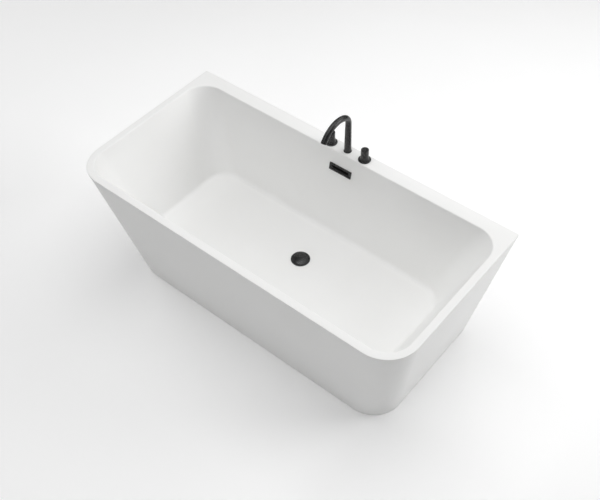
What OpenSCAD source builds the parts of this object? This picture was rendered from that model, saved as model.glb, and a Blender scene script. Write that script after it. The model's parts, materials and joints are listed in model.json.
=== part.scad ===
// Back-to-wall freestanding bathtub with a three-hole deck tap.
// +X runs along the tub, +Y points at the wall behind it, +Z is up. The origin is on the floor,
// under the middle of the rim. All sizes are in millimetres.

/* [Tub outside] */
// Length of the rim
rim_l = 1500; // [1400:10:1700]
// Width of the rim, front to wall
rim_w = 745; // [720:5:800]
// Height of the rim above the floor
tub_h = 580; // [570:5:620]
// Length of the base
base_l = 1286; // [1260:2:1400]
// How far the base front stands back from the rim front
base_front_in = 110; // [80:5:120]
// How far the base back stands in from the wall side of the rim
base_back_in = 65; // [40:5:70]
// Front corner radius at the rim
rim_corner_r = 130; // [110:5:150]
// Front corner radius at the base
base_corner_r = 124; // [110:2:150]
// Corner radius at the wall side
back_corner_r = 6; // [6:1:12]
// Gap between the outer shell and the floor
skirt_gap = 2; // [2:1:4]

/* [Basin] */
// Width of the rim at both ends
rim_side = 30; // [26:1:40]
// Width of the rim at the front
rim_front = 31; // [26:1:40]
// Width of the tap deck at the wall side
deck_w = 59; // [57:1:70]
// Corner radius of the basin at the rim
basin_corner_r = 98; // [90:2:110]
// Depth from the rim to the edge of the floor
basin_depth = 361; // [350:1:366]
// Fall of the floor to the waste
floor_fall = 4.5; // [3:0.5:6]
// Inward slope of the two ends, per unit of depth
end_slope = 0.41; // [0.39:0.01:0.42]
// Inward slope of the wall under the tap deck, per unit of depth
back_slope = 0.21; // [0.2:0.01:0.22]
// Inward slope of the front wall, per unit of depth
front_slope = 0.22; // [0.21:0.01:0.23]
// Radius between the walls and the floor
floor_fillet = 20; // [16:1:22]
// Radius of the lip between the rim and the walls
lip_r = 4; // [3:0.5:4]

/* [Fittings] */
// Distance of the tap and waste line from the middle of the tub
fittings_x = 18; // [-40:1:40]
// Distance of the tap line from the middle of the tub, towards the wall
tap_y = 342; // [341:0.5:343]
// Distance of the waste from the middle of the tub, towards the wall
drain_y = 47; // [40:1:55]
// Distance from the spout to each knob
knob_pitch = 80; // [76:1:84]
// Height of a knob's top above the deck
knob_h = 52; // [48:1:58]
// Height of the straight part of the spout above the deck
spout_leg = 137; // [120:1:160]
// Depth of the overflow below the rim
overflow_depth = 70; // [68:1:74]

/* [Hidden] */

// Facets of exact round parts, and points on each quarter of a shell corner
$fn = 64;
corner_n = 12;
// Allowance that makes a cutting shape pass through a face
cut = 1;
// Radial clearance of parts that turn or slide in each other
run_gap = 0.05;
// Clearance between parts that are fixed in place, and of a pipe in its union
fixed_gap = 0.3;
slip_gap = 0.1;
// Change of radius where a bent tube meets its next stretch, and how far the two overlap there
step_r = 0.2;
lap = 1.5;

// Shell thicknesses
wall_t = 6;
floor_t = 10;
skirt_t = 5;
rim_edge_r = 2.5;
rim_plate_t = 6;
rim_z = tub_h - rim_plate_t;
flange_w = 30;
flange_t = 5;
service_w = 420;
service_h = 150;
service_z = 130;
service_y = rim_w / 2 - base_back_in - 15;

// Basin opening at the rim
open_hx = rim_l / 2 - rim_side;
open_yf = -rim_w / 2 + rim_front;
open_yb = rim_w / 2 - deck_w;
floor_z = tub_h - basin_depth;
seat_z = floor_z - floor_fall;
under_z = floor_z - floor_t;
seat_w = 46;
fillet_steps = 7;
lip_steps = 3;

// Base frame: square tubes under a board that is bonded to the floor
board_t = 15;
board_z = under_z - board_t;
board_hx = 532;
board_front = -222;
board_back = 202;
tube_w = 25;
tube_t = 2;
rail_z = board_z - tube_w;
rail_hx = 500;
rail_front_y = -165;
rail_rear_y = 178;
crossbar_xs = [-470, -170, 190, 470];
leg_z = 56;
foot_places = [[-470, rail_front_y], [470, rail_front_y], [-470, rail_rear_y],
    [470, rail_rear_y], [-170, 6.5]];
screw_xs = [-420, -220, 240, 420];
screw_r = 2;
screw_len = 35;
notch_hx = 46;

// Levelling feet
stem_r = 6;
insert_h = 14;
nut_h = 10;
lock_nut_r = 11;
pad_r = 24;
pad_h = 12;
pad_socket_z = 6;
stem_top = 112;

// Waste, heights measured from the seat
drain_flange_r = 38.5;
drain_cap_r = 31;
drain_hole_r = 28;
tail_r = 26.5;
body_r = 30;
body_flange_r = 40;
lower_seal_t = 2.5;
top_seal_t = 1;
body_top = floor_fall - floor_t - lower_seal_t;
port_z = -66.5;
port_y = 60;
outlet_r = 20;
outlet_len = 35;
body_bottom = -90;
stem_rod_r = 4;
cap_z = 3;
cap_seal_t = 0.7;
sleeve_z = -32;
spring_z = -29.2;
spring_rise = 11.4;

// Overflow, drawn in a frame that leans with the long wall
lean = atan(back_slope);
overflow_w = 103;
overflow_h = 31;
plate_screw_r = 1.55;
plate_screw_len = 13.5;
throat_w = 80;
throat_h = 13;
throat_hole_w = throat_w + 5;
throat_hole_h = throat_h + 4;
chamber_y = 9;
chamber_d = 28;
chamber_h = 26;
pipe_r = 12.4;
pipe_bore_r = 10;
pipe_bend_r = 42;
union_r = 15;
union_depth = 20;
socket_stop = 8;
union_nut_h = 15;
nut_grip = 11;
pipe_top_y = 25;
pipe_top_z = -30;
overflow_pt = [open_yb - back_slope * overflow_depth, tub_h - overflow_depth];

// Deck tap, heights measured from the deck
gasket_t = 0.8;
deck_hole_r = 13.5;
tail_tube_r = 12;
deck_board_l = 300;
deck_board_w = 42;
deck_board_t = 12;
deck_under = rim_plate_t + deck_board_t;
washer_t = 2;
backnut_h = 9;
link_z = -52;
link_r = 5;
link_stop = 15.5;
link_nut_x = 22;
link_nut_h = 10;
branch_r = 7;
spout_foot_r = 14;
spout_r = 11.7;
spout_bore_r = 8;
spout_gap = 0.3;
ring_h = 3.4;
head_r = 10;
head_h = 36;
shank_len = 60;
groove_zs = [14, 26];
groove_w = 2.6;
groove_r = 7.6;
bend_r = 48;
bend_deg = 64;
arch_r = 92;
arch_deg = 81;
tip_len = 11;
arch_c = [-bend_r + (bend_r - arch_r) * cos(bend_deg),
    spout_leg + (bend_r - arch_r) * sin(bend_deg)];
flange_r = 25;
flange_top = 5;
knob_z = flange_top + 0.4;
grub_z = 22;
grub_r = 2;
grub_len = 10;
spindle_r = 3.5;
cartridge_r = 9;
cartridge_depth = 30;
spindle_depth = 22;
spindle_len = 56;
inlet_r = 10.475;
hex = 6;

// ---- Shell shapes ----

// A quarter circle of points at height z, starting at angle a0
function quarter(cx, cy, r, a0, z) =
    [for (i = [0:corner_n]) let (a = a0 + 90 * i / corner_n) [cx + r * cos(a), cy + r * sin(a), z]];

// A rounded rectangle at height z, with its own radii at the front and at the back
function ring(hx, yf, yb, rf, rb, z, cx = 0) = concat(
    quarter(cx + hx - rb, yb - rb, rb, 0, z),
    quarter(cx - hx + rb, yb - rb, rb, 90, z),
    quarter(cx - hx + rf, yf + rf, rf, 180, z),
    quarter(cx + hx - rf, yf + rf, rf, 270, z));

function mix(a, b, t) = a + (b - a) * t;

// The outline of the outer shell at height z, drawn in by inset
function shell_ring(z, inset) = let (t = z / tub_h)
    ring(mix(base_l, rim_l, t) / 2 - inset,
        mix(base_front_in, 0, t) - rim_w / 2 + inset,
        rim_w / 2 - mix(base_back_in, 0, t) - inset,
        mix(base_corner_r, rim_corner_r, t) - inset, max(back_corner_r - inset, 0.5), z);

// How far a wall of slope m has come in at depth d, with its fillet of radius r to a floor at deep
function wall_in(m, d, deep, r) = let (bend = deep - r, k = sqrt(1 + m * m))
    d <= bend + r * m / k ? m * d
    : m * bend + r * k - sqrt(max(0, r * r - (d - bend) * (d - bend)));

// The basin's inner surface at depth d
function inner_ring(d) = let (
    lip = d < lip_r ? sqrt(lip_r * lip_r - (lip_r - d) * (lip_r - d)) - lip_r : 0,
    end = wall_in(end_slope, d, basin_depth, floor_fillet) + lip,
    front = wall_in(front_slope, d, basin_depth, floor_fillet) + lip,
    back = wall_in(back_slope, d, basin_depth, floor_fillet) + lip,
    r = basin_corner_r - lip - (end - lip - end_slope * d))
    ring(open_hx - end, open_yf + front, open_yb - back, r, r, tub_h - d);

// The basin's outer surface at depth d, a wall thickness away
function outer_ring(d) = let (
    deep = basin_depth + floor_t,
    end = wall_in(end_slope, d, deep, floor_fillet) - wall_t * sqrt(1 + end_slope * end_slope),
    front = wall_in(front_slope, d, deep, floor_fillet) - wall_t,
    back = wall_in(back_slope, d, deep, floor_fillet) - wall_t,
    r = basin_corner_r + wall_t - (wall_in(end_slope, d, deep, floor_fillet) - end_slope * d))
    ring(open_hx - end, open_yf + front, open_yb - back, r, r, tub_h - d);

// Depths at which the fillet to a floor at deep is drawn, from the wall down
function fillet_depths(deep) =
    [for (i = [1:fillet_steps]) deep - floor_fillet * (1 - sin(90 * i / fillet_steps))];

// Triangles between ring k and ring m, each of n points
function band(k, m, n) = [for (i = [0:n - 1], half = [0, 1])
    let (a = k * n + i, b = k * n + (i + 1) % n, up = (m - k) * n)
    half == 0 ? [a, a + up, b + up] : [a, b + up, b]];

// A closed surface through rings that all have the same number of points. The first and the last
// ring are capped, or joined to each other when looped.
module loft(rings, looped = false) {
    n = len(rings[0]);
    last = len(rings) - 1;
    ends = looped ? band(last, 0, n)
        : [[for (i = [0:n - 1]) i], [for (i = [n - 1:-1:0]) last * n + i]];
    polyhedron(points = [for (r = rings) each r],
        faces = concat([for (k = [0:last - 1]) each band(k, k + 1, n)], ends), convexity = 6);
}

// A flat bar with round ends, standing along +Y
module slot_bar(w, h, len) {
    rotate([-90, 0, 0])
        linear_extrude(len) {
            square([w - h, h], center = true);
            for (s = [-1, 1])
                translate([s * (w - h) / 2, 0]) circle(h / 2);
        }
}

// A tube along +Z
module tube(r, bore, h) {
    difference() {
        cylinder(r = r, h = h);
        translate([0, 0, -cut]) cylinder(r = bore, h = h + 2 * cut);
    }
}

// A hexagon nut along +Z, r to its corners
module hex_nut(r, bore, h) {
    difference() {
        cylinder(r = r, h = h, $fn = hex);
        translate([0, 0, -cut]) cylinder(r = bore, h = h + 2 * cut);
    }
}

// ---- Places ----
module at_drain() {
    translate([fittings_x, drain_y, seat_z]) children();
}
module at_overflow() {
    translate([fittings_x, overflow_pt[0], overflow_pt[1]]) rotate([-lean, 0, 0]) children();
}
module at_spout() {
    translate([fittings_x, tap_y, tub_h]) children();
}
// side is -1 for hot and 1 for cold
module at_valve(side) {
    translate([fittings_x + side * knob_pitch, tap_y, tub_h]) children();
}
module at_taps() {
    at_spout() children();
    for (side = [-1, 1])
        at_valve(side) children();
}

// ---- Shells and boards ----
module basin() {
    deep = basin_depth + floor_t;
    screw_hole_r = 1.8;
    color("white") difference() {
        loft(concat(
            [for (i = [fillet_steps - 1:-1:0]) outer_ring(fillet_depths(deep)[i])],
            [outer_ring(deep - floor_fillet), outer_ring(rim_plate_t), shell_ring(rim_z, 0)],
            [for (a = [0:30:90])
                shell_ring(tub_h - rim_edge_r * (1 - sin(a)), rim_edge_r * (1 - cos(a)))],
            [for (i = [0:lip_steps]) inner_ring(lip_r * (1 - cos(90 * i / lip_steps)))],
            [inner_ring(basin_depth - floor_fillet)],
            [for (d = fillet_depths(basin_depth)) inner_ring(d)],
            [ring(seat_w, drain_y - seat_w, drain_y + seat_w, seat_w - cut, seat_w - cut,
                seat_z, fittings_x)]));
        at_drain() translate([0, 0, -floor_t]) cylinder(r = drain_hole_r, h = 2 * floor_t);
        at_taps() translate([0, 0, -rim_plate_t - cut])
            cylinder(r = deck_hole_r, h = rim_plate_t + 2 * cut);
        at_overflow() translate([0, -wall_t / 2, 0])
            slot_bar(throat_hole_w, throat_hole_h, 4 * wall_t);
        at_overflow() overflow_screw_places() rotate([-90, 0, 0])
            cylinder(r = screw_hole_r, h = 3 * wall_t);
    }
}

module skirt() {
    flange_z = skirt_gap + flange_t;
    color("white") difference() {
        loft([shell_ring(skirt_gap, 0), shell_ring(rim_z, 0), shell_ring(rim_z, skirt_t),
            shell_ring(flange_z, skirt_t), shell_ring(flange_z, skirt_t + flange_w),
            shell_ring(skirt_gap, skirt_t + flange_w)], looped = true);
        translate([fittings_x, service_y, service_z])
            slot_bar(service_w, service_h, rim_w / 2 - service_y + cut);
    }
}

// The board has a notch from its rear edge, for the waste and its pipe
module floor_board() {
    color("burlywood") difference() {
        translate([-board_hx, board_front, board_z])
            cube([2 * board_hx, board_back - board_front, board_t]);
        translate([fittings_x - notch_hx, drain_y - notch_hx, board_z - cut])
            cube([2 * notch_hx, board_back - drain_y + notch_hx + cut, board_t + 2 * cut]);
        frame_screw_places() cylinder(r = screw_r + run_gap, h = screw_len + cut);
    }
}

module deck_board() {
    color("burlywood") difference() {
        translate([fittings_x - deck_board_l / 2, tap_y - deck_board_w / 2, rim_z - deck_board_t])
            cube([deck_board_l, deck_board_w, deck_board_t]);
        at_taps() translate([0, 0, -deck_under - cut])
            cylinder(r = deck_hole_r, h = deck_board_t + 2 * cut);
    }
}

// ---- Base frame ----
// Every screw of the frame, at the underside of its rail
module frame_screw_places() {
    for (x = screw_xs, y = [rail_front_y, rail_rear_y])
        translate([x, y, rail_z]) children();
}

module box_tube_x(len) {
    translate([-len / 2, -tube_w / 2, 0]) difference() {
        cube([len, tube_w, tube_w]);
        translate([-cut, tube_t, tube_t])
            cube([len + 2 * cut, tube_w - 2 * tube_t, tube_w - 2 * tube_t]);
    }
}

module frame_rail(y) {
    color("silver") difference() {
        translate([0, y, rail_z]) box_tube_x(2 * rail_hx);
        frame_screw_places() translate([0, 0, -cut])
            cylinder(r = screw_r + run_gap, h = tube_w + 2 * cut);
    }
}
module frame_rail_front() { frame_rail(rail_front_y); }
module frame_rail_rear() { frame_rail(rail_rear_y); }

module frame_crossbars() {
    len = rail_rear_y - rail_front_y - tube_w;
    color("silver") for (x = crossbar_xs)
        translate([x, (rail_rear_y + rail_front_y) / 2, rail_z]) rotate([0, 0, 90]) box_tube_x(len);
}

module frame_legs() {
    color("silver") for (p = foot_places)
        translate([p[0] - tube_w / 2, p[1] - tube_w / 2, leg_z]) difference() {
            cube([tube_w, tube_w, rail_z - leg_z]);
            translate([tube_t, tube_t, -cut])
                cube([tube_w - 2 * tube_t, tube_w - 2 * tube_t, rail_z - leg_z + 2 * cut]);
        }
}

module leg_inserts() {
    side = tube_w - 2 * tube_t;
    color("dimgray") for (p = foot_places)
        translate([p[0], p[1], leg_z]) difference() {
            translate([-side / 2, -side / 2, 0]) cube([side, side, insert_h]);
            translate([0, 0, -cut]) cylinder(r = stem_r + run_gap, h = insert_h + 2 * cut);
        }
}

module lock_nuts() {
    color("silver") for (p = foot_places)
        translate([p[0], p[1], leg_z - nut_h]) hex_nut(lock_nut_r, stem_r + run_gap, nut_h);
}

module frame_screws() {
    head_r = 4.5;
    head_t = 3;
    color("goldenrod") frame_screw_places() {
        cylinder(r = screw_r, h = screw_len);
        translate([0, 0, -head_t]) cylinder(r = head_r, h = head_t);
    }
}

module foot_stem(i) {
    color("silver") translate([foot_places[i][0], foot_places[i][1], pad_socket_z])
        cylinder(r = stem_r, h = stem_top - pad_socket_z);
}
module foot_stem_front_left() { foot_stem(0); }
module foot_stem_front_right() { foot_stem(1); }
module foot_stem_rear_left() { foot_stem(2); }
module foot_stem_rear_right() { foot_stem(3); }
module foot_stem_middle() { foot_stem(4); }

module foot_pad(i) {
    color("black") translate([foot_places[i][0], foot_places[i][1], 0]) difference() {
        rotate_extrude()
            polygon([[0, 0], [pad_r, 0], [pad_r, pad_h / 4], [pad_r / 2, pad_h], [0, pad_h]]);
        translate([0, 0, pad_socket_z]) cylinder(r = stem_r, h = pad_h);
    }
}
module foot_pad_front_left() { foot_pad(0); }
module foot_pad_front_right() { foot_pad(1); }
module foot_pad_rear_left() { foot_pad(2); }
module foot_pad_rear_right() { foot_pad(3); }
module foot_pad_middle() { foot_pad(4); }

// ---- Waste ----
module drain_flange() {
    hub_r = 11.5;
    hub_z = -14;
    hub_h = 10;
    arm_w = 4;
    bore_r = 23.5;
    tail_len = 30;
    // From the seat of the seal over the raised edge and the cap's recess, down into the bore
    profile = [[tail_r, top_seal_t], [drain_flange_r, top_seal_t], [drain_flange_r, 1.9],
        [37.3, 3], [35, 3.2], [33, 2.7], [31, 2], [27, 1.9], [bore_r + 1, 0.4], [bore_r, -2],
        [bore_r, -tail_len], [tail_r, -tail_len]];
    color("#1c1c1c") at_drain() {
        rotate_extrude() polygon(profile);
        difference() {
            translate([0, 0, hub_z]) {
                cylinder(r = hub_r, h = hub_h);
                for (a = [90, 210, 330])
                    rotate([0, 0, a]) translate([0, -arm_w / 2, 0]) cube([bore_r + 1, arm_w, hub_h]);
            }
            translate([0, 0, hub_z - cut]) cylinder(r = cartridge_r, h = hub_h + 2 * cut);
        }
    }
}

module drain_seal_top() {
    color("dimgray") at_drain() tube(36, drain_hole_r + 0.5, top_seal_t);
}

module drain_seal_bottom() {
    color("dimgray") at_drain() translate([0, 0, body_top])
        tube(body_flange_r, body_r, lower_seal_t);
}

module drain_body() {
    flange_h = 4;
    wall = 4;
    outlet_wall = 2.5;
    color("#3a3a3a") at_drain() difference() {
        union() {
            translate([0, 0, body_top - flange_h]) cylinder(r = body_flange_r, h = flange_h);
            translate([0, 0, body_bottom]) cylinder(r = body_r, h = body_top - body_bottom);
            translate([0, 0, body_bottom - outlet_len]) cylinder(r = outlet_r, h = outlet_len + cut);
            translate([0, 0, port_z]) rotate([-90, 0, 0]) cylinder(r = union_r, h = port_y);
        }
        translate([0, 0, body_bottom + wall])
            cylinder(r = tail_r + fixed_gap, h = body_top - body_bottom);
        translate([0, 0, body_bottom - outlet_len - cut])
            cylinder(r = outlet_r - outlet_wall, h = outlet_len + wall + 2 * cut);
        translate([0, 0, port_z]) rotate([-90, 0, 0])
            cylinder(r = pipe_r + slip_gap, h = port_y + cut);
    }
}

// Sleeve that guides the stem and holds the spring
module drain_cartridge() {
    len = 30;
    end_t = 2;
    spring_room_r = 7.6;
    color("#555555") at_drain() translate([0, 0, sleeve_z]) difference() {
        cylinder(r = cartridge_r, h = len);
        translate([0, 0, end_t]) cylinder(r = spring_room_r, h = len - 2 * end_t);
        translate([0, 0, -cut]) cylinder(r = stem_rod_r + run_gap, h = len + 2 * cut);
    }
}

// A round wire wound on a helix, with flat rings of points around each section
module drain_spring() {
    turns = 5;
    wire_r = 0.7;
    coil_r = 6;
    steps = 16 * turns;
    sides = 6;
    color("silver") at_drain() translate([0, 0, spring_z])
        loft([for (k = [0:steps]) let (t = 360 * turns * k / steps)
            [for (j = [sides - 1:-1:0]) let (a = 360 * j / sides, r = coil_r + wire_r * cos(a))
                [r * cos(t), r * sin(t), spring_rise * k / steps + wire_r * sin(a)]]]);
}

module drain_stem() {
    bottom = -25;
    collar_z = -17;
    collar_r = 7;
    collar_h = 2;
    color("goldenrod") at_drain() {
        translate([0, 0, bottom]) cylinder(r = stem_rod_r, h = cap_z - bottom);
        translate([0, 0, collar_z]) cylinder(r = collar_r, h = collar_h);
    }
}

module drain_cap() {
    dome_r = 118;
    edge_h = 1.1;
    edge_in = 0.6;
    crown_h = 4.2;
    color("#242424") at_drain() translate([0, 0, cap_z]) {
        cylinder(r = drain_cap_r, h = edge_h);
        intersection() {
            translate([0, 0, edge_h]) cylinder(r = drain_cap_r - edge_in, h = crown_h);
            translate([0, 0, crown_h - dome_r]) sphere(r = dome_r, $fn = 128);
        }
    }
}

module drain_cap_seal() {
    color("dimgray") at_drain() translate([0, 0, cap_z - cap_seal_t]) tube(29.5, 25, cap_seal_t);
}

// ---- Overflow ----
module overflow_plate() {
    proud = 4;
    frame_w = 6;
    recess = 2;
    color("#1c1c1c") at_overflow() difference() {
        translate([-overflow_w / 2, -proud, -overflow_h / 2]) cube([overflow_w, proud, overflow_h]);
        translate([-overflow_w / 2 + frame_w, -proud - cut, -overflow_h / 2 + frame_w])
            cube([overflow_w - 2 * frame_w, recess + cut, overflow_h - 2 * frame_w]);
        translate([-throat_w / 2, -proud - cut, -throat_h / 2])
            cube([throat_w, proud + 2 * cut, throat_h]);
        overflow_screw_places() translate([0, -cut, 0]) rotate([-90, 0, 0])
            cylinder(r = plate_screw_r + run_gap, h = 2 * proud);
    }
}

// The two screws of the plate, at the floor of its recess
module overflow_screw_places() {
    for (s = [-1, 1])
        translate([s * 42.6, -2, 0]) children();
}

module overflow_screws() {
    color("#1c1c1c") at_overflow() overflow_screw_places() rotate([-90, 0, 0]) {
        cylinder(r = plate_screw_r, h = plate_screw_len);
        translate([0, 0, -1]) cylinder(r = 2.4, h = 1);
    }
}

module overflow_seal() {
    seal_w = 106;
    seal_h = 27;
    seal_t = 2.4;
    color("dimgray") at_overflow() difference() {
        translate([0, wall_t + fixed_gap, 0]) slot_bar(seal_w, seal_h, seal_t);
        translate([0, wall_t - cut, 0])
            slot_bar(throat_hole_w + 4, throat_hole_h + 4, wall_t);
    }
}

module overflow_body() {
    chamber_w = 110;
    chamber_t = 3;
    color("#3a3a3a") at_overflow() difference() {
        union() {
            translate([0, chamber_y, 0]) slot_bar(chamber_w, chamber_h, chamber_d);
            slot_bar(throat_w + 4, throat_h + 3, chamber_y + cut);
            translate([0, pipe_top_y, pipe_top_z]) cylinder(r = union_r, h = -pipe_top_z - 2);
        }
        translate([0, chamber_y + chamber_t, 0])
            slot_bar(throat_w, chamber_h - 5, chamber_d - 2 * chamber_t);
        translate([0, -cut, 0]) slot_bar(throat_w, throat_h, chamber_y + 2 * chamber_t);
        translate([0, pipe_top_y, pipe_top_z - cut])
            cylinder(r = pipe_r + slip_gap, h = -pipe_top_z - 4);
        overflow_screw_places() rotate([-90, 0, 0])
            cylinder(r = plate_screw_r + run_gap, h = plate_screw_len);
    }
}

// Rod of radius r along the overflow pipe's route, in the plane x = fittings_x. Its straights are
// a step thicker than the bend and run a little way into it.
module pipe_route(r, over) {
    start = [overflow_pt[0] + pipe_top_y * cos(lean) + (pipe_top_z + socket_stop) * sin(lean),
        overflow_pt[1] - pipe_top_y * sin(lean) + (pipe_top_z + socket_stop) * cos(lean)];
    centre_z = seat_z + port_z + pipe_bend_r;
    centre_y = start[0] - (pipe_bend_r - (centre_z - start[1]) * sin(lean)) / cos(lean);
    touch = [centre_y + pipe_bend_r * cos(lean), centre_z - pipe_bend_r * sin(lean)];
    drop = norm(start - touch);
    translate([fittings_x, touch[0], touch[1]]) rotate([-lean, 0, 0]) translate([0, 0, -lap])
        cylinder(r = r, h = drop + over + lap);
    translate([fittings_x, centre_y, centre_z]) rotate([90, 0, 90]) rotate([0, 0, -90])
        rotate_extrude(angle = 90 - lean) translate([pipe_bend_r, 0]) circle(r - step_r);
    translate([fittings_x, drain_y + port_y - union_depth - over, seat_z + port_z]) rotate([-90, 0, 0])
        cylinder(r = r, h = centre_y - drain_y - port_y + union_depth + over + lap);
}

module overflow_pipe() {
    color("#8a8a8a") difference() {
        pipe_route(pipe_r, 0);
        pipe_route(pipe_bore_r, cut);
    }
}

module pipe_nut() {
    difference() {
        cylinder(r = union_r + 2, h = union_nut_h);
        translate([0, 0, -cut]) cylinder(r = union_r + run_gap, h = nut_grip + cut);
        cylinder(r = pipe_r + slip_gap, h = union_nut_h + cut);
    }
}

module overflow_pipe_nuts() {
    color("#2a2a2a") {
        at_drain() translate([0, port_y - nut_grip, port_z]) rotate([-90, 0, 0]) pipe_nut();
        at_overflow() translate([0, pipe_top_y, pipe_top_z + nut_grip]) rotate([180, 0, 0]) pipe_nut();
    }
}

// ---- Spout ----
// The bent part of the spout from the top of its leg to its tip, thinner by a step in the arch
module spout_arch(r, over) {
    translate([0, -bend_r, spout_leg]) rotate([90, 0, 90])
        rotate_extrude(angle = bend_deg + 2) translate([bend_r, 0]) circle(r);
    translate([0, arch_c[0], arch_c[1]]) rotate([90, 0, 90]) rotate([0, 0, bend_deg])
        rotate_extrude(angle = arch_deg) translate([arch_r, 0]) circle(r - step_r);
    at_tip() translate([0, 0, -lap]) cylinder(r = r, h = tip_len + over + lap);
}

// The start of the spout's straight tip, with +Z along the flow
module at_tip() {
    tip_deg = bend_deg + arch_deg;
    tip = arch_c + arch_r * [cos(tip_deg), sin(tip_deg)];
    translate([0, tip[0], tip[1]]) rotate([tip_deg, 0, 0]) children();
}

module spout() {
    foot = ring_h + spout_gap;
    color("#1c1c1c") at_spout() difference() {
        union() {
            translate([0, 0, foot])
                cylinder(r1 = spout_foot_r, r2 = spout_r + step_r, h = spout_leg + lap - foot);
            spout_arch(spout_r, 0);
        }
        translate([0, 0, foot - cut]) cylinder(r = head_r + run_gap, h = head_h - foot + 3);
        translate([0, 0, head_h])
            cylinder(r = spout_bore_r + step_r, h = spout_leg + lap - head_h);
        spout_arch(spout_bore_r, cut);
    }
}

module aerator() {
    h = 6;
    module jet() {
        cylinder(r = 1.3, h = h + 2 * cut, $fn = 24);
    }
    color("#4a4a4a") at_spout() at_tip()
        translate([0, 0, tip_len - h - 1]) difference() {
            cylinder(r = spout_bore_r, h = h);
            for (a = [0:60:300])
                rotate([0, 0, a]) translate([4.6, 0, -cut]) jet();
            translate([0, 0, -cut]) jet();
        }
}

module spout_base_ring() {
    color("#1c1c1c") at_spout() rotate_extrude() polygon([[tail_tube_r, gasket_t], [16, gasket_t],
        [16, 2.4], [15, ring_h], [tail_tube_r, ring_h]]);
}

module spout_gasket() {
    color("dimgray") at_spout() tube(15, tail_tube_r, gasket_t);
}

module spout_shank() {
    color("goldenrod") at_spout() difference() {
        union() {
            translate([0, 0, -shank_len]) cylinder(r = tail_tube_r, h = shank_len + ring_h);
            cylinder(r = head_r, h = head_h);
        }
        translate([0, 0, -shank_len - cut]) cylinder(r = 5.5, h = shank_len + head_h + 2 * cut);
        for (z = groove_zs)
            translate([0, 0, z - groove_w / 2]) tube(head_r + cut, groove_r, groove_w);
        translate([0, 0, link_z]) rotate([0, 90, 0])
            cylinder(r = 4.5, h = 4 * tail_tube_r, center = true);
    }
}

module spout_o_rings() {
    color("black") at_spout() for (z = groove_zs)
        translate([0, 0, z]) rotate_extrude() translate([8.8, 0]) circle(1.2, $fn = 24);
}

// ---- Fixings under the deck ----
module clamp_washers() {
    color("silver") at_taps() translate([0, 0, -deck_under - washer_t])
        tube(18, tail_tube_r + run_gap, washer_t);
}

module backnuts() {
    color("goldenrod") at_taps() translate([0, 0, -deck_under - washer_t - backnut_h])
        hex_nut(18, tail_tube_r + run_gap, backnut_h);
}

module tee_piece() {
    color("goldenrod") at_spout() difference() {
        union() {
            translate([0, 0, link_z - 10]) cylinder(r = 15, h = 20);
            translate([0, 0, link_z]) rotate([0, 90, 0])
                cylinder(r = branch_r, h = 46, center = true);
        }
        translate([0, 0, -shank_len - run_gap]) cylinder(r = tail_tube_r + run_gap, h = shank_len);
        translate([0, 0, link_z]) rotate([0, 90, 0])
            cylinder(r = link_r + run_gap, h = 60, center = true);
    }
}

module link_pipes() {
    color("peru") for (side = [-1, 1])
        at_spout() translate([side * knob_pitch / 2, 0, link_z]) rotate([0, 90, 0])
            translate([0, 0, link_stop - knob_pitch / 2])
                tube(link_r, link_r - 1, knob_pitch - 2 * link_stop);
}

module link_nuts() {
    color("goldenrod") for (side = [-1, 1], x = [link_nut_x, knob_pitch - link_nut_x])
        at_spout() translate([side * x, 0, link_z]) rotate([0, 90, 0])
            translate([0, 0, -link_nut_h / 2])
                hex_nut(10, branch_r + run_gap, link_nut_h);
}

// ---- Valves and knobs ----
module valve_body(side) {
    body_z = -75;
    inlet_z = -92;
    color("goldenrod") at_valve(side) difference() {
        union() {
            translate([0, 0, body_z]) cylinder(r = tail_tube_r, h = flange_top - 0.5 - body_z);
            translate([0, 0, inlet_z]) cylinder(r = inlet_r, h = body_z - inlet_z + cut);
            translate([0, 0, link_z]) rotate([0, -side * 90, 0]) cylinder(r = branch_r, h = 23);
        }
        translate([0, 0, -cartridge_depth]) cylinder(r = cartridge_r, h = 2 * cartridge_depth);
        translate([0, 0, inlet_z - cut]) cylinder(r = 6.5, h = -inlet_z);
        translate([0, 0, link_z]) rotate([0, -side * 90, 0]) cylinder(r = link_r + run_gap, h = 24);
    }
}
module hot_valve_body() { valve_body(-1); }
module cold_valve_body() { valve_body(1); }

module valve_cartridges() {
    color("#bfb8a6") for (side = [-1, 1])
        at_valve(side) translate([0, 0, -cartridge_depth])
            tube(cartridge_r, spindle_r + run_gap, cartridge_depth + 8);
}

module knob_flanges() {
    color("#1c1c1c") for (side = [-1, 1])
        at_valve(side) rotate_extrude() polygon([[tail_tube_r, gasket_t], [flange_r, gasket_t],
            [flange_r, 2.6], [23, 4.2], [19.5, flange_top], [tail_tube_r, flange_top]]);
}

module flange_gaskets() {
    color("dimgray") for (side = [-1, 1])
        at_valve(side) tube(23, tail_tube_r, gasket_t);
}

module knob(side) {
    color("#1c1c1c") at_valve(side) difference() {
        rotate_extrude() polygon([[0, knob_z], [18.3, knob_z], [18.3, 7], [17, 12], [16, 18],
            [15.4, 26], [15.2, knob_h - 1.2], [14.2, knob_h], [0, knob_h]]);
        translate([0, 0, knob_z - cut]) cylinder(r = 12.6, h = 9);
        cylinder(r = spindle_r, h = spindle_len - spindle_depth);
        translate([0, 0, grub_z]) rotate([-90, 0, 0]) cylinder(r = grub_r, h = 20);
    }
}
module hot_knob() { knob(-1); }
module cold_knob() { knob(1); }

module spindle(side) {
    color("gold") at_valve(side) translate([0, 0, -spindle_depth]) cylinder(r = spindle_r, h = spindle_len);
}
module hot_spindle() { spindle(-1); }
module cold_spindle() { spindle(1); }

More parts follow.
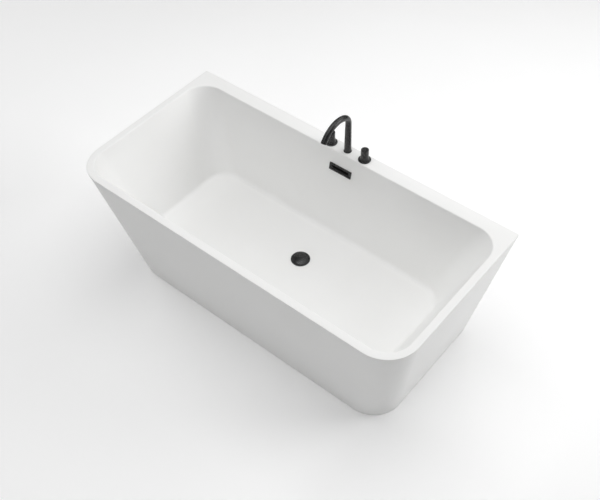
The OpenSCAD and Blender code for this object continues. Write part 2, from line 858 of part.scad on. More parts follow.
module knob_screw(side) {
    color("silver") at_valve(side) translate([0, spindle_r, grub_z]) rotate([-90, 0, 0]) difference() {
        cylinder(r = grub_r, h = grub_len);
        translate([0, 0, grub_len - 2.5]) cylinder(r = 1.1, h = 5, $fn = hex);
    }
}
module hot_knob_screw() { knob_screw(-1); }
module cold_knob_screw() { knob_screw(1); }

basin();
skirt();
floor_board();
deck_board();
frame_rail_front();
frame_rail_rear();
frame_crossbars();
frame_legs();
leg_inserts();
lock_nuts();
frame_screws();
foot_stem_front_left();
foot_stem_front_right();
foot_stem_rear_left();
foot_stem_rear_right();
foot_stem_middle();
foot_pad_front_left();
foot_pad_front_right();
foot_pad_rear_left();
foot_pad_rear_right();
foot_pad_middle();
drain_flange();
drain_seal_top();
drain_seal_bottom();
drain_body();
drain_cartridge();
drain_spring();
drain_stem();
drain_cap();
drain_cap_seal();
overflow_plate();
overflow_seal();
overflow_body();
overflow_screws();
overflow_pipe();
overflow_pipe_nuts();
spout();
aerator();
spout_base_ring();
spout_gasket();
spout_shank();
spout_o_rings();
clamp_washers();
backnuts();
tee_piece();
link_pipes();
link_nuts();
hot_valve_body();
cold_valve_body();
valve_cartridges();
knob_flanges();
flange_gaskets();
hot_knob();
cold_knob();
hot_spindle();
cold_spindle();
hot_knob_screw();
cold_knob_screw();
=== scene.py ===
"""A white back-to-wall bathtub with a matt black deck tap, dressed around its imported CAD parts.

Everything is in metres. +X runs along the tub, +Y points at the wall behind it, +Z is up.
"""

import json
import math

import bmesh
import bpy
from mathutils import Matrix, Vector


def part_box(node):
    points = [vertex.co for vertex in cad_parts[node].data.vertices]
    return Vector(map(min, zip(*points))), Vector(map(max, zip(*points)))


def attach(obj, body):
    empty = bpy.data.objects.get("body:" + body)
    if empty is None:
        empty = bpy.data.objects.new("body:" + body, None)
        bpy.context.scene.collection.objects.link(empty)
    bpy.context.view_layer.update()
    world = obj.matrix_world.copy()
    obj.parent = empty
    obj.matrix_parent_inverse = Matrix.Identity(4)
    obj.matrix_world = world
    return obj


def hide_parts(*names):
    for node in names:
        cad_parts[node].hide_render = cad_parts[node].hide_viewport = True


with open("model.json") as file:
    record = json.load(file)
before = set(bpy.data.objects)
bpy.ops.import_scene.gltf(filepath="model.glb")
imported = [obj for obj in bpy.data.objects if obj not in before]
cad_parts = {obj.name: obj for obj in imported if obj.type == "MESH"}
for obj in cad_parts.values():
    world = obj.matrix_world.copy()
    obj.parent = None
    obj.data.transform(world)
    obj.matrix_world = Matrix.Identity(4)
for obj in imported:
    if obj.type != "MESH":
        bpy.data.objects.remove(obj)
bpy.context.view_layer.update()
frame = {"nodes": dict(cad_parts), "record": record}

MM = 0.001

# ---- Places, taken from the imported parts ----
BASIN_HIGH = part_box("basin")[1]
SKIRT_LOW, SKIRT_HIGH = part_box("skirt")
RIM_HX = BASIN_HIGH.x
RIM_HY = BASIN_HIGH.y
TUB_H = BASIN_HIGH.z
PLATE_Z = SKIRT_HIGH.z
SKIRT_Z = SKIRT_LOW.z


def middle(node):
    """The centre of a CAD node's box."""
    low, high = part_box(node)
    return (low + high) / 2


DRAIN = middle("drain_flange")
SPOUT = middle("spout_base_ring")
VALVE_X = {"hot": middle("hot_knob").x, "cold": middle("cold_knob").x}

# ---- Tub sizes ----
BASE_HX = 643 * MM
BASE_FRONT_IN = 110 * MM
BASE_BACK_IN = 65 * MM
RIM_CORNER_R = 130 * MM
BASE_CORNER_R = 124 * MM
BACK_CORNER_R = 6 * MM
RIM_EDGE_R = 2.5 * MM
SKIRT_T = 5 * MM
SKIRT_FLANGE_W = 30 * MM
SKIRT_FLANGE_T = 5 * MM
OPEN_HX = RIM_HX - 30 * MM
OPEN_FRONT = -RIM_HY + 31 * MM
OPEN_BACK = RIM_HY - 59 * MM
BASIN_CORNER_R = 98 * MM
BASIN_DEPTH = 361 * MM
FLOOR_FALL = 4.5 * MM
FLOOR_T = 10 * MM
WALL_T = 6 * MM
END_SLOPE = 0.41
BACK_SLOPE = 0.21
FRONT_SLOPE = 0.22
FILLET_R = 20 * MM
LIP_R = 4 * MM
SEAT_Z = TUB_H - BASIN_DEPTH - FLOOR_FALL
SEAT_R = 45 * MM
DRAIN_HOLE_R = 28 * MM
OVERFLOW_HOLE_W = 85 * MM
OVERFLOW_HOLE_H = 17 * MM
SERVICE_W = 420 * MM
SERVICE_H = 150 * MM
SERVICE_Z = 130 * MM
SERVICE_Y = 292.5 * MM
SERVICE_CUT = 100 * MM

# ---- Mesh steps and limits ----
CORNER_STEPS = 24
LONG_STEPS = 30
SHORT_STEPS = 14
ROUND_STEPS = 96
TUBE_STEPS = 64
PROFILE_STEPS = 5
LIP_STEPS = 6
EDGE_STEPS = 5
FILLET_STEPS = 16
FLOOR_STEPS = 8
DOME_STEPS = 12
LEG_STEPS = 24
BEND_STEPS = 24
ARCH_STEPS = 36
TIP_STEPS = 4
SMOOTH_DEG = 32
SPOUT_SMOOTH_DEG = 40
# Points closer than this are one point
WELD = 1e-6
# Radius that stands for the axis of a lathed shape, and what counts as on the axis
AXIS_R = 1e-7
ON_AXIS = 1e-6
# Corners flatter than this stay as they are, and a rounding takes at most this share of a side
FLAT_DEG = 170
ROUND_SHARE = 0.45

# ---- Finishes and studio ----
# Part of a noise's range that carries the variation
NOISE_LOW = 0.3
NOISE_HIGH = 0.7
# How much finer the gloss varies than the colour
GLOSS_FINENESS = 4
GRAIN_DETAIL = 2.0
# Light the backdrop paper lets through from below
FLOOR_GLOW = 0.144
FLOOR_SIZE = 30.0
FLOOR_SQUARES = 6
WORLD_LIGHT = 0.06
CAMERA_AT = (1.5424, -1.7390, 2.9496)
CAMERA_FORWARD = (-0.42797, 0.50102, -0.75221)
CAMERA_UP = (-0.4675, 0.5896, 0.6587)
SENSOR_MM = 36
LENS_MM = 54.61
LAMPS_AIM_AT = (0, 0, 0.4)
# Each lamp's name, place, size in metres and power in watts
LAMPS = (
    ("top", (0, 0, 3.6), 3.0, 60),
    ("top_back", (0, 2.6, 3.0), 2.5, 30),
    ("top_front", (0, -2.8, 3.0), 2.5, 25),
    ("right_back", (3.2, 2.6, 2.2), 2.5, 82),
    ("left", (-4.0, 0, 2.4), 2.5, 38),
)


# ---- Mesh helpers ----
def quarter(cx, cy, r, start, z):
    """Points of a quarter circle at height z, starting at an angle in degrees."""
    turn = [math.radians(start + 90 * i / CORNER_STEPS) for i in range(CORNER_STEPS + 1)]
    return [Vector((cx + r * math.cos(a), cy + r * math.sin(a), z)) for a in turn]


def rounded_rectangle(hx, front, back, r_front, r_back, z, sides=True):
    """A ring of points round a rectangle, with its sides divided as well as its corners."""
    corners = [
        quarter(hx - r_back, back - r_back, r_back, 0, z),
        quarter(-hx + r_back, back - r_back, r_back, 90, z),
        quarter(-hx + r_front, front + r_front, r_front, 180, z),
        quarter(hx - r_front, front + r_front, r_front, 270, z),
    ]
    steps = [LONG_STEPS, SHORT_STEPS] * 2 if sides else [1] * 4
    ring = []
    for k, corner in enumerate(corners):
        ring += corner
        end = corners[(k + 1) % 4][0]
        ring += [corner[-1].lerp(end, i / steps[k]) for i in range(1, steps[k])]
    return ring


def loft(rings, closed=False):
    """(points, faces) of quads through rings with the same number of points."""
    n = len(rings[0])
    points = [p for ring in rings for p in ring]
    pairs = [(k, k + 1) for k in range(len(rings) - 1)]
    if closed:
        pairs.append((len(rings) - 1, 0))
    faces = [
        (a * n + i, a * n + (i + 1) % n, b * n + (i + 1) % n, b * n + i)
        for a, b in pairs
        for i in range(n)
    ]
    return points, faces


def piece(name, mesh_parts, material, smooth_deg=SMOOTH_DEG):
    """An object from a list of (points, faces), with outward normals and soft shading."""
    mesh = bpy.data.meshes.new(name)
    points, faces = [], []
    for some_points, some_faces in mesh_parts:
        start = len(points)
        points += some_points
        faces += [tuple(start + i for i in face) for face in some_faces]
    mesh.from_pydata([tuple(p) for p in points], [], faces)
    bm = bmesh.new()
    bm.from_mesh(mesh)
    bmesh.ops.remove_doubles(bm, verts=bm.verts, dist=WELD)
    bmesh.ops.recalc_face_normals(bm, faces=bm.faces)
    bm.to_mesh(mesh)
    bm.free()
    finish_shading(mesh, smooth_deg)
    obj = bpy.data.objects.new(name, mesh)
    bpy.context.scene.collection.objects.link(obj)
    obj.data.materials.append(material)
    return obj


def finish_shading(mesh, smooth_deg):
    """Soft shading, with edges sharper than an angle kept crisp."""
    for polygon in mesh.polygons:
        polygon.use_smooth = True
    mesh.set_sharp_from_angle(angle=math.radians(smooth_deg))


def cut_away(obj, mesh_parts):
    """Takes closed shapes out of an object."""
    cutter = piece(obj.name + "_cutter", mesh_parts, obj.data.materials[0])
    modifier = obj.modifiers.new("cut", "BOOLEAN")
    modifier.operation = "DIFFERENCE"
    modifier.solver = "EXACT"
    modifier.object = cutter
    bpy.context.view_layer.update()
    changed = obj.evaluated_get(bpy.context.evaluated_depsgraph_get())
    mesh = bpy.data.meshes.new_from_object(changed)
    obj.modifiers.clear()
    obj.data = mesh
    finish_shading(mesh, SMOOTH_DEG)
    bpy.data.objects.remove(cutter)


def placed(mesh_part, matrix):
    """The same (points, faces), moved by a matrix."""
    points, faces = mesh_part
    return [matrix @ p for p in points], faces


def in_mm(pairs):
    """Pairs of millimetres as pairs of metres."""
    return [(a * MM, b * MM) for a, b in pairs]


def lathe(profile):
    """A closed round shape from (radius, height) points that run once round its section."""
    turn = [2 * math.pi * i / ROUND_STEPS for i in range(ROUND_STEPS)]
    rings = [
        [Vector((max(r, AXIS_R) * math.cos(a), max(r, AXIS_R) * math.sin(a), z)) for a in turn]
        for r, z in profile
    ]
    return loft(rings, closed=True)


def rounded(profile, r):
    """A closed section with each corner rounded to r, or to what fits."""
    out = []
    n = len(profile)
    for i, point in enumerate(profile):
        p = Vector(point)
        before, after = Vector(profile[i - 1]) - p, Vector(profile[(i + 1) % n]) - p
        angle = before.angle(after)
        reach = min(r / math.tan(angle / 2), ROUND_SHARE * min(before.length, after.length))
        if p.x < ON_AXIS or angle > math.radians(FLAT_DEG):
            out.append(tuple(p))
            continue
        start = p + before.normalized() * reach
        end = p + after.normalized() * reach
        for k in range(PROFILE_STEPS + 1):
            t = k / PROFILE_STEPS
            out.append(tuple(start.lerp(p, t).lerp(p.lerp(end, t), t)))
    return out


def prism(outline, low, high):
    """A straight bar along Z from an outline of (x, y) points."""
    n = len(outline)
    rings = [[Vector((x, y, z)) for x, y in outline] for z in (low, high)]
    points, faces = loft(rings)
    return points, faces + [tuple(range(n)), tuple(range(n, 2 * n))]


def slot_outline(w, h):
    """A rectangle with round ends, w long and h high."""
    half, r = (w - h) / 2, h / 2
    turn = [math.radians(180 * i / CORNER_STEPS - 90) for i in range(CORNER_STEPS + 1)]
    right = [(half + r * math.cos(a), r * math.sin(a)) for a in turn]
    return right + [(-x, -y) for x, y in right]


# ---- Tub shapes ----
def mix(a, b, t):
    """The value a share t of the way from a to b."""
    return a + (b - a) * t


def shell_ring(z, inset):
    """The outline of the outer shell at height z."""
    t = z / TUB_H
    return rounded_rectangle(
        mix(BASE_HX, RIM_HX, t) - inset,
        -RIM_HY + mix(BASE_FRONT_IN, 0, t) + inset,
        RIM_HY - mix(BASE_BACK_IN, 0, t) - inset,
        mix(BASE_CORNER_R, RIM_CORNER_R, t) - inset,
        max(BACK_CORNER_R - inset, 0.5 * MM),
        z,
    )


def wall_in(slope, depth, deep):
    """How far a sloping wall has come in at a depth, with its fillet to a floor at deep."""
    bend = deep - FILLET_R
    k = math.sqrt(1 + slope * slope)
    if depth <= bend + FILLET_R * slope / k:
        return slope * depth
    rest = max(0.0, FILLET_R**2 - (depth - bend) ** 2)
    return slope * bend + FILLET_R * k - math.sqrt(rest)


def inner_ring(depth):
    """The outline of the basin's inside at a depth below the rim."""
    lip = 0.0
    if depth < LIP_R:
        lip = math.sqrt(LIP_R**2 - (LIP_R - depth) ** 2) - LIP_R
    end = wall_in(END_SLOPE, depth, BASIN_DEPTH) + lip
    front = wall_in(FRONT_SLOPE, depth, BASIN_DEPTH) + lip
    back = wall_in(BACK_SLOPE, depth, BASIN_DEPTH) + lip
    r = BASIN_CORNER_R - lip - (end - lip - END_SLOPE * depth)
    return rounded_rectangle(
        OPEN_HX - end, OPEN_FRONT + front, OPEN_BACK - back, r, r, TUB_H - depth
    )


def outer_ring(depth):
    """The outline of the basin's hidden side at a depth below the rim."""
    deep = BASIN_DEPTH + FLOOR_T
    end_in = wall_in(END_SLOPE, depth, deep)
    end = end_in - WALL_T * math.sqrt(1 + END_SLOPE**2)
    front = wall_in(FRONT_SLOPE, depth, deep) - WALL_T
    back = wall_in(BACK_SLOPE, depth, deep) - WALL_T
    r = BASIN_CORNER_R + WALL_T - (end_in - END_SLOPE * depth)
    return rounded_rectangle(
        OPEN_HX - end, OPEN_FRONT + front, OPEN_BACK - back, r, r, TUB_H - depth
    )


def fillet_depths(deep):
    """The depths of the rings that round a wall into a floor at deep."""
    angles = [math.pi / 2 * i / FILLET_STEPS for i in range(1, FILLET_STEPS + 1)]
    return [deep - FILLET_R * (1 - math.sin(a)) for a in angles]


def toward_drain(ring, r, z):
    """The ring's points moved on to a circle round the waste."""
    out = []
    for p in ring:
        away = Vector((p.x - DRAIN.x, p.y - DRAIN.y, 0)).normalized()
        out.append(Vector((DRAIN.x, DRAIN.y, z)) + r * away)
    return out


def floor_rings(edge):
    """From the floor's edge down to the flat seat of the waste."""
    seat = toward_drain(edge, SEAT_R, SEAT_Z)
    return [
        [p.lerp(q, i / FLOOR_STEPS) for p, q in zip(edge, seat)]
        for i in range(1, FLOOR_STEPS + 1)
    ]


def along_overflow():
    """Stands at the overflow, on the rear wall and leaning with it: X along, Y into the wall."""
    low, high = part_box("overflow_plate")
    lean = math.atan(BACK_SLOPE)
    depth = TUB_H - middle("overflow_plate").z
    depth = round(depth / MM) * MM
    at = Vector(((low.x + high.x) / 2, OPEN_BACK - BACK_SLOPE * depth, TUB_H - depth))
    return Matrix.Translation(at) @ Matrix.Rotation(-lean, 4, "X")


UP_TO_INWARD = Matrix.Rotation(math.radians(-90), 4, "X")


def build_basin(acrylic, fibreglass):
    lip = [math.pi / 2 * i / LIP_STEPS for i in range(LIP_STEPS + 1)]
    inside = [inner_ring(LIP_R * (1 - math.cos(a))) for a in lip]
    inside.append(inner_ring(BASIN_DEPTH - FILLET_R))
    inside += [inner_ring(d) for d in fillet_depths(BASIN_DEPTH)]
    inside += floor_rings(inside[-1])
    inside.append(toward_drain(inside[-1], DRAIN_HOLE_R, SEAT_Z))
    edge = [
        shell_ring(TUB_H - RIM_EDGE_R * (1 - math.sin(a)), RIM_EDGE_R * (1 - math.cos(a)))
        for a in (math.radians(90 * i / EDGE_STEPS) for i in range(EDGE_STEPS + 1))
    ]
    deep = BASIN_DEPTH + FLOOR_T
    outside = [outer_ring(deep)] + [outer_ring(d) for d in fillet_depths(deep)[-2::-1]]
    outside += [outer_ring(deep - FILLET_R), outer_ring(TUB_H - PLATE_Z)]
    under = toward_drain(outside[0], DRAIN_HOLE_R, TUB_H - deep)
    rings = [under] + outside + [shell_ring(PLATE_Z, 0)] + edge + inside
    basin = piece("basin_shell", [loft(rings, closed=True)], acrylic)
    throat = placed(
        prism(slot_outline(OVERFLOW_HOLE_W, OVERFLOW_HOLE_H), -WALL_T, 3 * WALL_T),
        along_overflow() @ UP_TO_INWARD,
    )
    cut_away(basin, [throat])
    basin.data.materials.append(fibreglass)
    for polygon in basin.data.polygons:
        if is_underside(polygon.center, polygon.normal):
            polygon.material_index = 1
    return basin


def is_underside(centre, normal):
    """Whether a face of the basin looks into the space behind the outer shell."""
    near, downward, outward = 0.1 * MM, -0.05, 0.3
    away = Vector((centre.x, centre.y, 0)).normalized()
    below_rim = centre.z < PLATE_Z + near
    return below_rim and (normal.z < downward or normal.dot(away) > outward)


def build_skirt(acrylic):
    flange_z = SKIRT_Z + SKIRT_FLANGE_T
    deep = SKIRT_T + SKIRT_FLANGE_W
    rings = [
        shell_ring(SKIRT_Z, 0), shell_ring(PLATE_Z, 0), shell_ring(PLATE_Z, SKIRT_T),
        shell_ring(flange_z, SKIRT_T), shell_ring(flange_z, deep), shell_ring(SKIRT_Z, deep),
    ]
    skirt = piece("skirt_shell", [loft(rings, closed=True)], acrylic)
    cut_service_opening(skirt)
    return skirt


def cut_service_opening(skirt):
    at = Matrix.Translation((SPOUT.x, SERVICE_Y, SERVICE_Z)) @ UP_TO_INWARD
    cut_away(skirt, [placed(prism(slot_outline(SERVICE_W, SERVICE_H), 0, SERVICE_CUT), at)])


# ---- Fittings ----
def tube_ring(point, ahead, r):
    """A circle round a point, facing ahead, which has no part along X."""
    side = Vector((0, -ahead.z, ahead.y)).normalized()
    return [
        point + r * (math.cos(a) * Vector((1, 0, 0)) + math.sin(a) * side)
        for a in (2 * math.pi * k / TUBE_STEPS for k in range(TUBE_STEPS))
    ]


def sweep(path, radii):
    """The circles of a round tube along a path in a plane of constant X."""
    last = len(path) - 1
    return [
        tube_ring(point, path[min(i + 1, last)] - path[max(i - 1, 0)], r)
        for i, (point, r) in enumerate(zip(path, radii))
    ]


def spout_path():
    """The spout's centreline from its foot to its tip, with the radius at each point."""
    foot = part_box("spout")[0].z
    leg, tip = 137 * MM, 11 * MM
    bend_r, bend, arch_r, arch = 48 * MM, math.radians(64), 92 * MM, math.radians(81)
    foot_r, leg_r, tip_r = 14 * MM, 11.9 * MM, 11.4 * MM
    top = TUB_H + leg
    path, radii = [], []
    for t in (i / LEG_STEPS for i in range(LEG_STEPS + 1)):
        path.append(Vector((SPOUT.x, SPOUT.y, mix(foot, top, t))))
        radii.append(mix(foot_r, leg_r, t))
    centre = Vector((SPOUT.x, SPOUT.y - bend_r, top))
    for i in range(1, BEND_STEPS + 1):
        a = bend * i / BEND_STEPS
        path.append(centre + bend_r * Vector((0, math.cos(a), math.sin(a))))
        radii.append(leg_r)
    centre += (bend_r - arch_r) * Vector((0, math.cos(bend), math.sin(bend)))
    for i in range(1, ARCH_STEPS + 1):
        a = bend + arch * i / ARCH_STEPS
        path.append(centre + arch_r * Vector((0, math.cos(a), math.sin(a))))
        radii.append(mix(leg_r, tip_r, i / ARCH_STEPS))
    ahead = Vector((0, -math.sin(bend + arch), math.cos(bend + arch)))
    for _ in range(TIP_STEPS):
        path.append(path[-1] + ahead * tip / TIP_STEPS)
        radii.append(tip_r)
    return path, radii, ahead


def build_spout(black):
    path, radii, ahead = spout_path()
    wall, mouth, edge = 2.2 * MM, 4 * MM, 0.7 * MM
    outer = sweep(path[:-1] + [path[-1] - ahead * edge], radii)
    end, r = path[-1], radii[-1]
    lip = tube_ring(end, ahead, r - edge)
    inner_edge = tube_ring(end, ahead, r - wall)
    inner = tube_ring(end - ahead * mouth, ahead, r - wall)
    points, faces = loft(outer + [lip, inner_edge, inner])
    faces.append(tuple(range(TUBE_STEPS)))
    return piece("spout_tube", [(points, faces)], black, SPOUT_SMOOTH_DEG)


def build_base_ring(black):
    profile = rounded([(11.9, 0.8), (16, 0.8), (16, 2.5), (14.9, 3.5), (11.9, 3.5)], 0.5)
    part = lathe(in_mm(profile))
    at = Matrix.Translation((SPOUT.x, SPOUT.y, TUB_H))
    return piece("spout_foot_ring", [placed(part, at)], black)


def build_flanges(black):
    section = [(12.05, 0.8), (25, 0.8), (25, 2.9), (23, 4.3), (19.5, 5.0), (12.05, 5.0)]
    part = lathe(in_mm(rounded(section, 0.9)))
    both = [placed(part, Matrix.Translation((x, SPOUT.y, TUB_H))) for x in VALVE_X.values()]
    return piece("knob_plates", both, black)


def build_knob(side, black):
    section = [(0, 13), (12.6, 13), (12.6, 5.5), (18.3, 5.5), (18.3, 7.4), (17.0, 12), (16.0, 18),
               (15.4, 26), (15.2, 50.9), (14.3, 51.9), (12.9, 51.5), (0, 51.4)]
    part = lathe(in_mm(rounded(section, 0.8)))
    at = Matrix.Translation((VALVE_X[side], SPOUT.y, TUB_H))
    return piece(f"{side}_knob_body", [placed(part, at)], black)


def build_drain_ring(black):
    section = [(26.5, 1.0), (38.5, 1.0), (38.5, 1.9), (37.3, 3.0), (35, 3.2), (33, 2.7),
               (31.6, 1.9), (27, 1.8), (24.5, 0.4), (23.5, -2), (23.5, -30), (26.5, -30)]
    hub_in, hub_out, low, high = 9, 11.5, -14, -4
    arm_in, arm_out, arm_half = 11, 24, 2
    ring = lathe(in_mm(rounded(section, 0.5)))
    hub = lathe(in_mm([(hub_in, low), (hub_out, low), (hub_out, high), (hub_in, high)]))
    arm_outline = in_mm([(arm_in, -arm_half), (arm_out, -arm_half), (arm_out, arm_half),
                         (arm_in, arm_half)])
    arm = prism(arm_outline, low * MM, high * MM)
    at = Matrix.Translation((DRAIN.x, DRAIN.y, SEAT_Z))
    parts = [placed(ring, at), placed(hub, at)]
    for turn in (90, 210, 330):
        parts.append(placed(arm, at @ Matrix.Rotation(math.radians(turn), 4, "Z")))
    return piece("waste_ring", parts, black)


def build_drain_cap(black):
    dome_r, edge_r, top, seat = 118.0, 30.9, 7.1, 3
    rim, chamfer, drop, low_drop = 0.9, 0.3, 0.15, 0.5
    dome = []
    for i in range(DOME_STEPS + 1):
        r = (edge_r - rim) * (DOME_STEPS - i) / DOME_STEPS
        dome.append((r, top - dome_r + math.sqrt(dome_r**2 - r * r)))
    rim_z = dome[0][1]
    section = [(0, seat), (edge_r, seat), (edge_r, rim_z - low_drop),
               (edge_r - chamfer, rim_z - drop)] + dome
    part = lathe(in_mm(section))
    at = Matrix.Translation((DRAIN.x, DRAIN.y, SEAT_Z))
    return piece("waste_plug", [placed(part, at)], black)


def plate_ring(w, h, r, z):
    """A rectangle round the origin with small round corners."""
    return rounded_rectangle(w / 2, -h / 2, h / 2, r, r, z, sides=False)


def build_overflow_plate(black):
    w, h, proud, edge = 103 * MM, 31 * MM, 4 * MM, 0.6 * MM
    frame_w, recess, slot_w, slot_h = 6 * MM, 2 * MM, 80 * MM, 13 * MM
    outer_r, bevel_r, face_r, inner_r, slot_r = 1.2 * MM, 1.0 * MM, 0.8 * MM, 0.6 * MM, 0.5 * MM
    in_w, in_h = w - 2 * frame_w, h - 2 * frame_w
    rings = [
        plate_ring(w, h, outer_r, 0),
        plate_ring(w, h, outer_r, -proud + edge),
        plate_ring(w - 0.6 * edge, h - 0.6 * edge, bevel_r, -proud + 0.3 * edge),
        plate_ring(w - 2 * edge, h - 2 * edge, face_r, -proud),
        plate_ring(in_w + edge, in_h + edge, face_r, -proud),
        plate_ring(in_w, in_h, inner_r, -proud + edge),
        plate_ring(in_w, in_h, inner_r, -proud + recess),
        plate_ring(slot_w, slot_h, slot_r, -proud + recess),
        plate_ring(slot_w, slot_h, slot_r, 0),
    ]
    part = placed(loft(rings, closed=True), along_overflow() @ UP_TO_INWARD)
    return piece("overflow_cover", [part], black)


# ---- Materials ----
def node_material(name):
    """A new material, its nodes, its links and its main shader."""
    material = bpy.data.materials.new(name)
    material.use_nodes = True
    nodes = material.node_tree.nodes
    return material, nodes, material.node_tree.links, nodes["Principled BSDF"]


def noise(nodes, links, scale, detail=3.0):
    """Noise fixed to the piece, as a value from 0 to 1."""
    where = nodes.new("ShaderNodeTexCoord")
    texture = nodes.new("ShaderNodeTexNoise")
    texture.inputs["Scale"].default_value = scale
    texture.inputs["Detail"].default_value = detail
    links.new(where.outputs["Object"], texture.inputs["Vector"])
    return texture.outputs["Fac"]


def spread(nodes, links, value, low, high):
    """Maps a noise value on to the range from low to high."""
    ranged = nodes.new("ShaderNodeMapRange")
    ranged.inputs["From Min"].default_value = NOISE_LOW
    ranged.inputs["From Max"].default_value = NOISE_HIGH
    ranged.inputs["To Min"].default_value = low
    ranged.inputs["To Max"].default_value = high
    links.new(value, ranged.inputs["Value"])
    return ranged.outputs["Result"]


def two_tone(nodes, links, value, dark, light):
    """Maps a noise value on to the colours from dark to light."""
    ramp = nodes.new("ShaderNodeValToRGB")
    ramp.color_ramp.elements[0].position = NOISE_LOW
    ramp.color_ramp.elements[0].color = (*dark, 1)
    ramp.color_ramp.elements[1].position = NOISE_HIGH
    ramp.color_ramp.elements[1].color = (*light, 1)
    links.new(value, ramp.inputs["Fac"])
    return ramp.outputs["Color"]


def surface(name, dark, light, rough, scale, grain, grain_mm, metallic=0.0):
    """A finish with soft colour variation, uneven gloss and a fine surface grain."""
    material, nodes, links, shader = node_material(name)
    wide = noise(nodes, links, scale)
    links.new(two_tone(nodes, links, wide, dark, light), shader.inputs["Base Color"])
    uneven = noise(nodes, links, scale * GLOSS_FINENESS)
    links.new(spread(nodes, links, uneven, *rough), shader.inputs["Roughness"])
    bump = nodes.new("ShaderNodeBump")
    bump.inputs["Strength"].default_value = 1.0
    bump.inputs["Distance"].default_value = grain_mm * MM
    links.new(noise(nodes, links, grain, GRAIN_DETAIL), bump.inputs["Height"])
    links.new(bump.outputs["Normal"], shader.inputs["Normal"])
    shader.inputs["Metallic"].default_value = metallic
    return material


def build_materials():
    return {
        "white_acrylic": surface("white_acrylic", (0.855, 0.855, 0.845), (0.875, 0.875, 0.868),
                                 (0.42, 0.50), 3, 300, 0.006),
        "fibreglass": surface("fibreglass", (0.60, 0.57, 0.49), (0.72, 0.69, 0.60),
                              (0.45, 0.7), 18, 260, 0.5),
        "board": surface("board", (0.42, 0.29, 0.17), (0.62, 0.46, 0.28),
                         (0.65, 0.85), 60, 700, 0.15),
        "zinc_steel": surface("zinc_steel", (0.52, 0.53, 0.54), (0.66, 0.67, 0.68),
                              (0.28, 0.42), 30, 500, 0.01, metallic=1.0),
        "grey_nylon": surface("grey_nylon", (0.26, 0.26, 0.26), (0.32, 0.32, 0.32),
                              (0.45, 0.6), 40, 900, 0.02),
        "passivated_screws": surface("passivated_screws", (0.58, 0.47, 0.22), (0.72, 0.62, 0.34),
                                     (0.25, 0.4), 90, 900, 0.01, metallic=1.0),
        "black_rubber": surface("black_rubber", (0.018, 0.018, 0.018), (0.030, 0.030, 0.030),
                                (0.65, 0.8), 50, 1100, 0.03),
        "black_plastic": surface("black_plastic", (0.025, 0.025, 0.026), (0.040, 0.040, 0.041),
                                 (0.4, 0.55), 40, 1100, 0.02),
        "grey_pipe": surface("grey_pipe", (0.36, 0.37, 0.38), (0.42, 0.43, 0.44),
                             (0.35, 0.5), 30, 900, 0.02),
        "matte_black": surface("matte_black", (0.010, 0.010, 0.010), (0.016, 0.016, 0.0165),
                               (0.24, 0.30), 60, 2200, 0.004),
        "aerator_plastic": surface("aerator_plastic", (0.07, 0.07, 0.07), (0.11, 0.11, 0.11),
                                   (0.45, 0.6), 80, 1500, 0.01),
        "brass": surface("brass", (0.60, 0.43, 0.18), (0.74, 0.56, 0.27),
                         (0.2, 0.34), 50, 900, 0.008, metallic=1.0),
        "copper": surface("copper", (0.66, 0.31, 0.19), (0.80, 0.43, 0.28),
                          (0.2, 0.34), 50, 900, 0.006, metallic=1.0),
    }


def dress_cad_nodes(materials):
    """Gives every CAD node that stays in view the finish of its own material slot."""
    for part in frame["record"]["subparts"]:
        node = frame["nodes"][part["node"]]
        node.data.materials.clear()
        node.data.materials.append(materials[part["material_slot"]])


def ride_for(obj, body, slot, *nodes):
    """Fixes a piece to a body and puts it in the place of CAD nodes."""
    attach(obj, body)
    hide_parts(*nodes)


def build_object(materials):
    acrylic, black = materials["white_acrylic"], materials["matte_black"]
    ride_for(build_basin(acrylic, materials["fibreglass"]), "tub", "white_acrylic", "basin")
    ride_for(build_skirt(acrylic), "tub", "white_acrylic", "skirt")
    ride_for(build_spout(black), "spout_arm", "matte_black", "spout")
    ride_for(build_base_ring(black), "tub", "matte_black", "spout_base_ring")
    ride_for(build_flanges(black), "tub", "matte_black", "knob_flanges")
    for side in VALVE_X:
        ride_for(build_knob(side, black), f"{side}_handle", "matte_black", f"{side}_knob")
    ride_for(build_drain_ring(black), "tub", "matte_black", "drain_flange")
    ride_for(build_drain_cap(black), "drain_plug", "matte_black", "drain_cap")
    ride_for(build_overflow_plate(black), "tub", "matte_black", "overflow_plate")


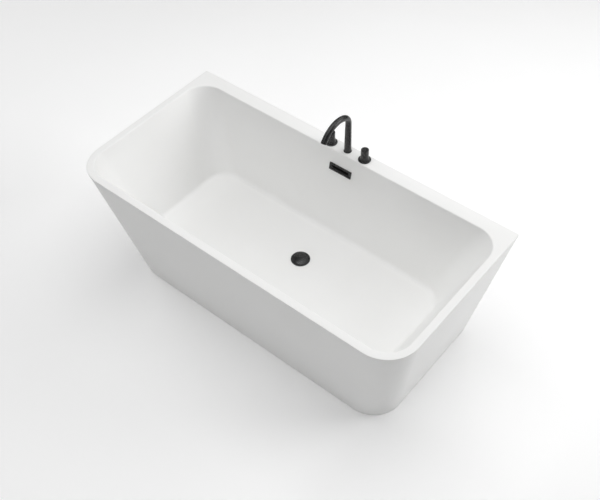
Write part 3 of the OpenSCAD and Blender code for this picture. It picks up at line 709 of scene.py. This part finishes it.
# ---- Studio ----
def build_camera():
    forward, up = Vector(CAMERA_FORWARD), Vector(CAMERA_UP)
    right = forward.cross(up).normalized()
    up = right.cross(forward).normalized()
    data = bpy.data.cameras.new("camera")
    data.sensor_width = SENSOR_MM
    data.lens = LENS_MM
    camera = bpy.data.objects.new("camera", data)
    turn = Matrix((right, up, -forward.normalized())).transposed().to_4x4()
    camera.matrix_world = Matrix.Translation(CAMERA_AT) @ turn
    bpy.context.scene.collection.objects.link(camera)
    bpy.context.scene.camera = camera


def build_floor():
    steps = FLOOR_SQUARES
    grid = [FLOOR_SIZE * (i / steps - 0.5) for i in range(steps + 1)]
    rings = [[Vector((x, y, 0)) for x in grid] for y in grid]
    n = steps + 1
    faces = [(k * n + i, k * n + i + 1, (k + 1) * n + i + 1, (k + 1) * n + i)
             for k in range(steps) for i in range(steps)]
    paper = surface("studio_floor", (0.93, 0.93, 0.93), (0.94, 0.94, 0.94),
                    (0.8, 0.9), 2, 200, 0.01)
    shader = paper.node_tree.nodes["Principled BSDF"]
    shader.inputs["Emission Color"].default_value = (1, 1, 1, 1)
    shader.inputs["Emission Strength"].default_value = FLOOR_GLOW
    floor = piece("floor", [([p for ring in rings for p in ring], faces)], paper)


def area_light(name, at, size, power):
    """A square lamp that faces the tub."""
    data = bpy.data.lights.new(name, "AREA")
    data.shape = "SQUARE"
    data.size = size
    data.energy = power
    light = bpy.data.objects.new(name, data)
    light.location = at
    aim = Vector(LAMPS_AIM_AT) - Vector(at)
    light.rotation_euler = aim.to_track_quat("-Z", "Y").to_euler()
    bpy.context.scene.collection.objects.link(light)


def build_light():
    world = bpy.data.worlds.new("studio")
    world.use_nodes = True
    world.node_tree.nodes["Background"].inputs["Color"].default_value = (1, 1, 1, 1)
    world.node_tree.nodes["Background"].inputs["Strength"].default_value = WORLD_LIGHT
    bpy.context.scene.world = world
    for name, at, size, power in LAMPS:
        area_light(name, at, size, power)
    bpy.context.scene.view_settings.view_transform = "Standard"


build_camera()
MATERIALS = build_materials()
dress_cad_nodes(MATERIALS)
build_object(MATERIALS)
build_floor()
build_light()
